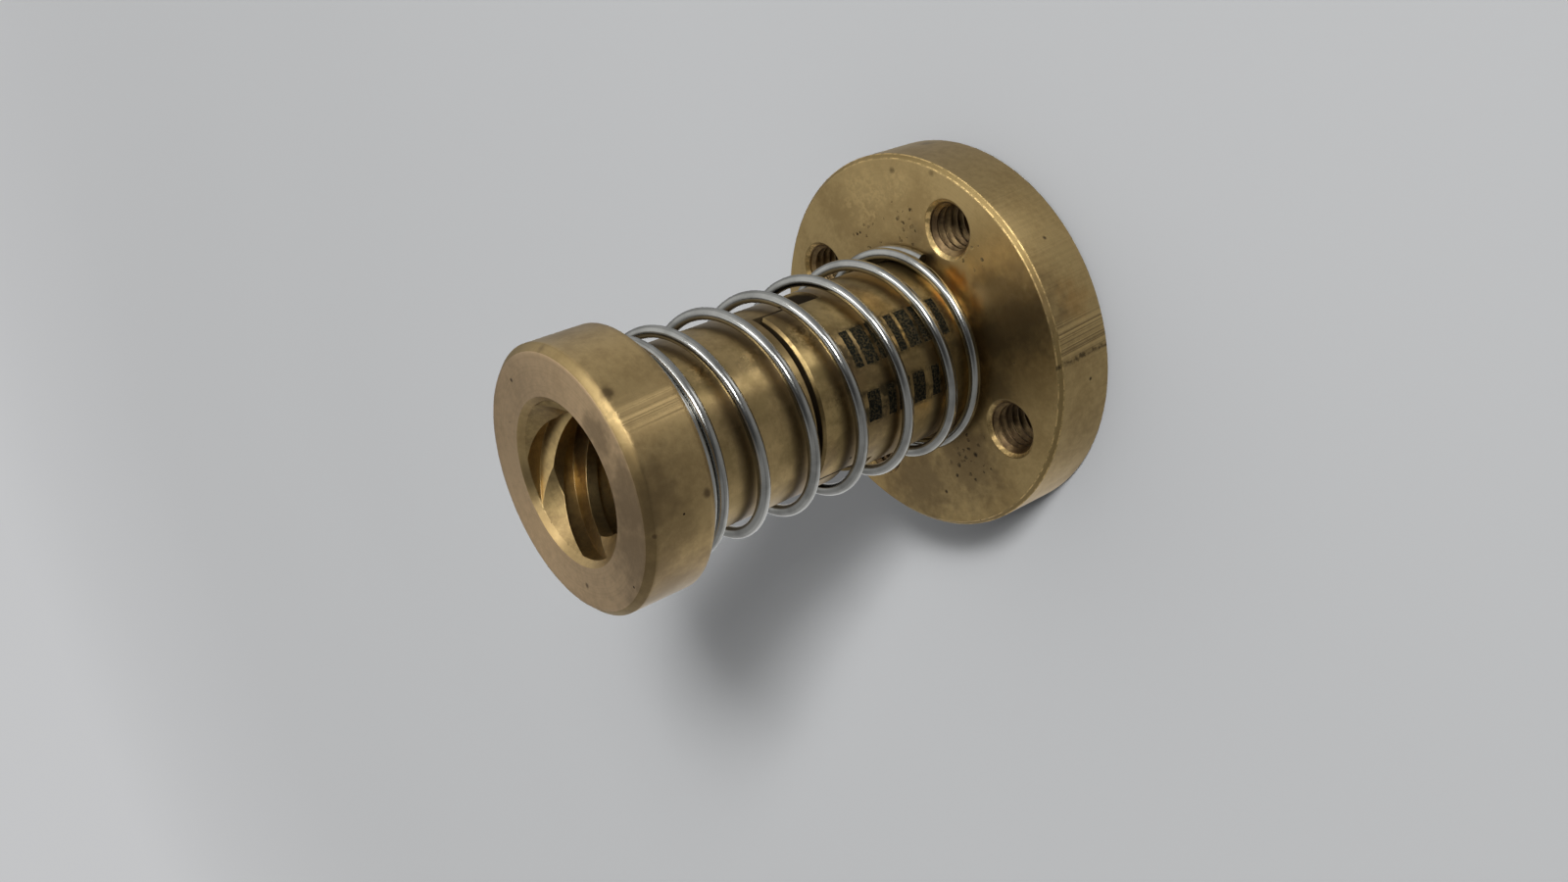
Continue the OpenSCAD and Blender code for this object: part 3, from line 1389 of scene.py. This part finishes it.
@dataclass
class CollarNut:
    """The nut that slides: a collar, its sleeve and the two tongues between the jaws."""

    thread: ScrewThread
    finish: BrassFinish
    thread_finish: BrassFinish
    tongue_width: float = 4.84 * MM
    tongue_length: float = 2.5 * MM

    def build(self) -> None:
        """Finishes the nut and cuts its thread."""
        dress("collar_nut", self.finish.material())
        ride(self.screw_thread(self.thread_finish.material()), Body.COLLAR, Slot.BRASS)

    def screw_thread(self, metal: bpy.types.Material) -> bpy.types.Object:
        """Makes the screw thread's ridges, which end at the sides of the tongues.

        Args:
            metal: The finish.

        Returns:
            The piece.
        """
        low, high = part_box("collar_nut")
        t = self.thread
        return t.cut(
            "collar_nut_thread",
            metal,
            low.z + t.clearance,
            high.z,
            top_flare=t.root_radius + t.mouth_chamfer,
            slab=SlabCut.KEEP_INSIDE,
            slab_width=self.tongue_width - 2 * t.clearance,
            slab_bottom=low.z - t.pitch,
            slab_top=low.z + self.tongue_length + t.clearance,
        )


@dataclass
class PreloadSpring:
    """The compression spring, closed at both ends, which crosses the sliding joint."""

    finish: SpringSteelFinish
    wire_radius: float = 0.325 * MM
    coil_radius: float = 5.675 * MM
    bottom: float = FLANGE_TOP
    top: float = COLLAR_BACK
    bottom_turns: float = 1.35
    open_turns: float = 5.15
    top_turns: float = 1.5
    closed_pitch: float = 0.68 * MM
    pitch_change_turns: float = 0.6
    start_angle: float = 53.0
    rings_per_turn: int = 90
    sides: int = 32

    def build(self) -> None:
        """Winds the spring, bakes its transform into its mesh and hides the plain solid."""
        spring = self.wound()
        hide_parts("preload_spring")
        self.bottom + 2 * self.closed_pitch
        self.top - 2 * self.closed_pitch
        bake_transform(spring)
        log.info("%s bends between the bodies: %d faces", spring.name, len(spring.data.polygons))

    def wound(self) -> bpy.types.Object:
        """Winds the wire.

        Returns:
            The piece.
        """
        recipe = GeometryRecipe("wound_spring")
        turns = self.bottom_turns + self.open_turns + self.top_turns
        first_z = self.bottom + self.wire_radius
        rise = self.top - self.wire_radius - first_z
        closed_share = self.closed_pitch * (self.bottom_turns + self.top_turns)
        wire = recipe.take("Wire Radius", self.wire_radius)
        coil = recipe.take("Coil Radius", self.coil_radius)
        all_turns = recipe.take("Turns", turns)
        base = recipe.take("First Height", first_z)
        closed = recipe.take("Closed Pitch", self.closed_pitch)
        opened = recipe.take("Open Pitch", (rise - closed_share) / self.open_turns)
        open_from = recipe.take("Open From", self.bottom_turns)
        open_to = recipe.take("Open To", self.bottom_turns + self.open_turns)
        ease = recipe.take("Half Change", 0.5 * self.pitch_change_turns)
        start = recipe.take("Start Angle", math.radians(self.start_angle))
        count = recipe.take("Points", int(turns * self.rings_per_turn) + 1)

        line = recipe.get("GeometryNodeMeshLine", {"Count": count})
        t = recipe.get("GeometryNodeInputIndex") / (count - 1.0) * all_turns

        def eased(at: Signal) -> Signal:
            """Counts the turns wound past a change of pitch, which comes in gradually.

            Args:
                at: The turns at the middle of the change.

            Returns:
                The turns of the new pitch.
            """
            x = t - at
            within = x.limited(ease * -1.0, ease)
            curved = (within + ease).math("POWER", 2.0) / (ease * 4.0)
            return curved + (x - ease).math("MAXIMUM", 0.0)

        z = base + closed * t + (opened - closed) * (eased(open_from) - eased(open_to))
        angle = t.scaled(math.tau, start)
        point = recipe.polar(coil, angle, z)
        bent = recipe.get("GeometryNodeSetPosition", {"Geometry": line, "Position": point})
        along = self._noted(recipe, bent, "wire_along", angle * coil)
        path = recipe.get("GeometryNodeMeshToCurve", {0: along})
        circle = recipe.get(
            "GeometryNodeCurvePrimitiveCircle", {"Radius": wire, "Resolution": self.sides}
        )
        side_width = math.tau * self.wire_radius / self.sides
        around = recipe.get("GeometryNodeInputIndex") * side_width
        profile = self._noted(recipe, circle, "wire_around", around)
        inputs = {"Curve": path, "Profile Curve": profile, "Fill Caps": True}
        tube = recipe.get("GeometryNodeCurveToMesh", inputs)
        return recipe.make(tube, self.finish.material(), crease=50.0)

    @staticmethod
    def _noted(recipe: GeometryRecipe, geometry: Signal, name: str, value: Signal) -> Signal:
        """Keeps a number on every point, for the finish to read.

        Args:
            recipe: The tree.
            geometry: The points.
            name: The name that the finish reads it by.
            value: The number.

        Returns:
            The points with the number.
        """
        inputs = {"Geometry": geometry, "Name": name, "Value": value}
        kind = "GeometryNodeStoreNamedAttribute"
        return recipe.get(kind, inputs, data_type="FLOAT", domain="POINT")


# ---- studio ------------------------------------------------------------------------------------


@dataclass(frozen=True)
class Lamp:
    """A soft box that looks at the part."""

    name: str
    azimuth: float
    elevation: float
    distance: float
    width: float
    height: float
    radiance: float
    on_metal: bool = True
    on_table: bool = True

    def place(self, target: Vector) -> None:
        """Hangs the lamp.

        Args:
            target: The point that it looks at.
        """
        data = bpy.data.lights.new(self.name, "AREA")
        data.shape = "RECTANGLE"
        data.size = self.width
        data.size_y = self.height
        data.energy = self.radiance * math.pi * self.width * self.height
        lamp = bpy.data.objects.new(self.name, data)
        a, e = math.radians(self.azimuth), math.radians(self.elevation)
        back = Vector((math.cos(a) * math.cos(e), math.sin(a) * math.cos(e), math.sin(e)))
        lamp.location = target + self.distance * back
        lamp.rotation_euler = back.to_track_quat("Z", "Y").to_euler()
        lamp.visible_glossy = self.on_metal
        lamp.visible_diffuse = self.on_table
        bpy.context.scene.collection.objects.link(lamp)


@dataclass
class Studio:
    """The floor, the light and the camera."""

    room: RoomLight
    lamps: tuple[Lamp, ...]
    backdrop: Colour = (0.550, 0.555, 0.565)
    ambient: float = 0.45
    floor_half: float = 6.0
    camera_place: tuple[float, float, float] = (63.30 * MM, 6.32 * MM, 57.63 * MM)
    camera_right: Direction = (0.5630, -0.3149, -0.7642)
    camera_up: Direction = (0.0916, 0.9427, -0.3210)
    lens: float = 33.16
    sensor: float = 36.0

    def build(self) -> None:
        """Sets everything up."""
        bpy.context.scene.cycles.caustics_reflective = False
        self.make_camera()
        self.make_floor()
        self.make_world()
        for lamp in self.lamps:
            lamp.place(self.middle())
        log.info("studio with %d lamps", len(self.lamps))

    @staticmethod
    def middle() -> Vector:
        """The middle of the part."""
        return (SOLID_BOX[0] + SOLID_BOX[1]) / 2

    def make_camera(self) -> None:
        """Looks down on the part from the side of the collar."""
        data = bpy.data.cameras.new("camera")
        data.lens = self.lens
        data.sensor_width = self.sensor
        data.clip_start = 1 * MM
        data.clip_end = 50.0
        right = Vector(self.camera_right).normalized()
        up = Vector(self.camera_up)
        up = (up - up.dot(right) * right).normalized()
        turned = Matrix((right, up, right.cross(up))).transposed().to_4x4()
        camera = bpy.data.objects.new("camera", data)
        camera.matrix_world = Matrix.Translation(self.camera_place) @ turned
        bpy.context.scene.collection.objects.link(camera)
        bpy.context.scene.camera = camera

    def make_floor(self) -> None:
        """Lays a wide floor under the flange."""
        half = self.floor_half
        mesh = bpy.data.meshes.new("floor")
        corners = [(-half, -half, 0.0), (half, -half, 0.0), (half, half, 0.0), (-half, half, 0.0)]
        mesh.from_pydata(corners, [], [(0, 1, 2, 3)])
        finish = FloorFinish("table_top", self.room, self.middle(), self.backdrop)
        mesh.materials.append(finish.material())
        floor = bpy.data.objects.new("floor", mesh)
        bpy.context.scene.collection.objects.link(floor)

    def make_world(self) -> None:
        """Fills the room with soft light, behind which the camera sees a plain backdrop."""
        world = bpy.data.worlds.new("room")
        world.use_nodes = True
        w = Wiring(world.node_tree)
        w.tree.nodes.clear()
        direction = w.get("ShaderNodeTexCoord", output="Generated")
        to_camera, to_metal = (
            w.get("ShaderNodeLightPath", output=ray) for ray in ("Is Camera Ray", "Is Glossy Ray")
        )
        strength = self.room.strength(direction) * to_metal.ramp(0.0, 1.0, self.ambient, 1.0)
        light = w.get("ShaderNodeBackground", {"Color": self.room.colour, "Strength": strength})
        plain = w.get("ShaderNodeBackground", {"Color": self.backdrop, "Strength": 1.0})
        w.add("ShaderNodeOutputWorld", {"Surface": w.either_shader(to_camera, light, plain)})
        bpy.context.scene.world = world


# ---- this part's finishes ----------------------------------------------------------------------


def patches_of(mark: Mark, *rows: tuple[float, ...]) -> tuple[SurfacePatch, ...]:
    """Lists patches of one kind.

    Args:
        mark: The kind.
        rows: The azimuth, then the radius, height and size in mm, and a strength if not full.

    Returns:
        The patches.
    """
    return tuple(SurfacePatch(mark, r[0], *(MM * length for length in r[1:4]), *r[4:]) for r in rows)


FLANGED_FINISH = BrassFinish(
    "flanged_brass",
    edge_radius=0.09 * MM,
    edge_shade=0.62,
    edge_highlight_lines=(10.77 * MM, 10.98 * MM),
    slots=SLOT_SPAN,
    barrel_darkness=0.80,
    coil_shadows=CoilShadows(0.55),
    hub_shade=1.0,
    hole_circle=HOLE_CIRCLE_RADIUS,
    surface_patches=(
        *patches_of(
            Mark.DENT,
            (19.7, 11.0, 2.0, 0.17),
            (-21.7, 11.0, 1.7, 0.15),
            (73.4, 10.1, 4.0, 0.30, 0.6),
            (56.5, 10.5, 4.0, 0.28, 0.5),
            (-71.1, 7.2, 4.0, 0.22),
            (-96.9, 8.9, 4.0, 0.18),
        ),
        *patches_of(
            Mark.HEAT,
            (30.0, 5.9, 4.0, 1.1, 0.9),
            (14.0, 6.3, 4.0, 0.9, 0.6),
            (1.0, 11.0, 2.0, 1.6, 0.25),
        ),
        # Painted highlights on the upper face and the sleeve, as brighter, smoother spots
        *patches_of(
            Mark.RUBBED_AND_HIGHLIT,
            (90.0, 9.0, 4.0, 2.8, 0.60),
            (72.0, 9.4, 4.0, 1.6, 0.60),
            (34.0, 5.1, 14.3, 1.3, 0.60),
            (-10.0, 5.1, 14.2, 1.0, 0.35),
        ),
        # Stains, and broad patches of painted shade and painted dark reflection beside the hub and
        # low on the face
        *patches_of(
            Mark.STAIN_AND_SHADE,
            (51.0, 5.7, 4.0, 0.9),
            (-4.0, 6.6, 4.0, 2.4, 0.80),
            (2.0, 9.0, 4.0, 3.2, 0.75),
            (13.0, 7.6, 4.0, 2.2, 0.70),
            (-30.0, 6.6, 4.0, 1.8, 0.60),
            (-112.0, 8.4, 4.0, 4.4, 0.80),
            (-78.0, 7.2, 4.0, 4.0, 0.75),
            (62.0, 6.6, 4.0, 1.3, 0.45),
            (74.0, 11.0, 1.1, 0.7, 0.5),
            (8.0, 5.1, 13.2, 1.5, 0.55),
            (16.0, 5.1, 5.6, 1.3, 0.65),
            (-12.0, 5.1, 9.5, 2.2, 0.45),
            (-34.0, 5.1, 12.4, 1.6, 0.35),
        ),
        *patches_of(
            Mark.SPECKS,
            (70.0, 7.0, 4.0, 2.0),
            (94.0, 6.6, 4.0, 1.5, 0.9),
            (-79.0, 7.2, 4.0, 2.4, 0.9),
            (28.0, 7.6, 4.0, 1.4, 0.7),
        ),
    ),
    scratches=(
        Scratches(-8.5, 7.0, FLANGE_RIM - 1.0 * MM, 4200.0, 1.0),
        Scratches(10.0, 45.0, FLANGE_RIM - 1.0 * MM, 5200.0, 0.10),
    ),
    cracks=(Crack(-13.4, 0.075, FLANGE_RIM, 0.20 * MM, 0.60 * MM),),
    rows=(
        EtchedRow(17.0, 12.0, 5.5 * MM, 7, 1.04 * MM),
        EtchedRow(-19.5, 9.5, 6.9 * MM, 5, 1.08 * MM),
    ),
)

COLLAR_FINISH = BrassFinish(
    "collar_brass",
    bright=(0.56, 0.405, 0.19),
    dull=(0.42, 0.295, 0.135),
    face=(0.72, 0.51, 0.29),
    edge_radius=0.40 * MM,
    edge_shade=0.35,
    slots=SLOT_SPAN,
    barrel_darkness=0.60,
    coil_shadows=CoilShadows(0.50),
    surface_patches=(
        # Small stains, and broad patches of painted shade on the face and low on the side
        *patches_of(
            Mark.STAIN_AND_SHADE,
            (-17.7, 7.0, 24.0, 0.32),
            (-18.5, 7.0, 27.3, 0.28),
            (-26.7, 7.0, 27.1, 0.26),
            (32.0, 7.0, 26.8, 0.50),
            (72.0, 7.0, 27.4, 0.45, 0.8),
            (-12.0, 6.0, 27.4, 3.2, 0.65),
            (22.0, 5.2, 27.4, 1.6, 0.70),
            (-30.0, 7.0, 25.5, 1.4, 0.25),
            (4.0, 5.1, 20.5, 1.8, 0.45),
            (14.0, 5.1, 17.0, 1.4, 0.40),
            (-62.0, 7.0, 25.4, 3.6, 0.55),
            (-42.0, 6.0, 27.4, 3.0, 0.55),
        ),
        # Painted highlights on the side, the chamfer and the sleeve, as brighter, smoother spots
        *patches_of(
            Mark.RUBBED_AND_HIGHLIT,
            (22.0, 7.0, 25.4, 1.5, 0.40),
            (26.0, 7.0, 27.2, 1.3, 0.55),
            (36.0, 5.1, 20.8, 1.0, 0.70),
            (32.0, 5.1, 18.0, 1.0, 0.70),
            (-20.0, 5.1, 18.6, 1.2, 0.40),
        ),
        *patches_of(Mark.DENT, (108.4, 5.8, 27.4, 0.15), (-106.0, 5.5, 27.4, 0.22, 0.8)),
    ),
    scratches=(Scratches(21.0, 8.0, COLLAR_RIM - 0.4 * MM, 3400.0, 0.40),),
)

# Darker brass: painted shade inside the screw bores
SHADED_THREAD_FINISH = BrassFinish(
    "threaded_brass_shaded",
    bright=(0.50, 0.36, 0.16),
    dull=(0.28, 0.195, 0.09),
    anisotropy=0.3,
)

# Much darker brass: painted shade inside the tapped holes
SHADED_BOLT_FINISH = BrassFinish(
    "tapped_brass_shaded",
    bright=(0.36, 0.25, 0.12),
    dull=(0.13, 0.085, 0.045),
    roughness=0.42,
    anisotropy=0.3,
)

LAMPS = (
    Lamp("key", 67.0, 43.0, 1.4, 0.90, 0.24, 7.2, on_table=False),
    Lamp("window", 27.0, 28.0, 2.8, 0.80, 0.80, 19.0),
    Lamp("shade", 28.0, 30.0, 2.8, 0.45, 0.45, 72.0, on_metal=False),
    Lamp("top", 125.0, 74.0, 1.5, 1.0, 1.0, 0.4),
)


def main() -> None:
    """Builds the part and its studio."""
    logging.basicConfig(level=logging.INFO, format="%(message)s")
    bpy.context.scene.view_settings.view_transform = "Standard"
    thread = ScrewThread()
    Studio(RoomLight(), LAMPS).build()
    FlangedNut(thread, FLANGED_FINISH, SHADED_THREAD_FINISH, SHADED_BOLT_FINISH).build()
    CollarNut(thread, COLLAR_FINISH, SHADED_THREAD_FINISH).build()
    PreloadSpring(SpringSteelFinish("drawn_wire")).build()


if __name__ == "__main__":
    main()
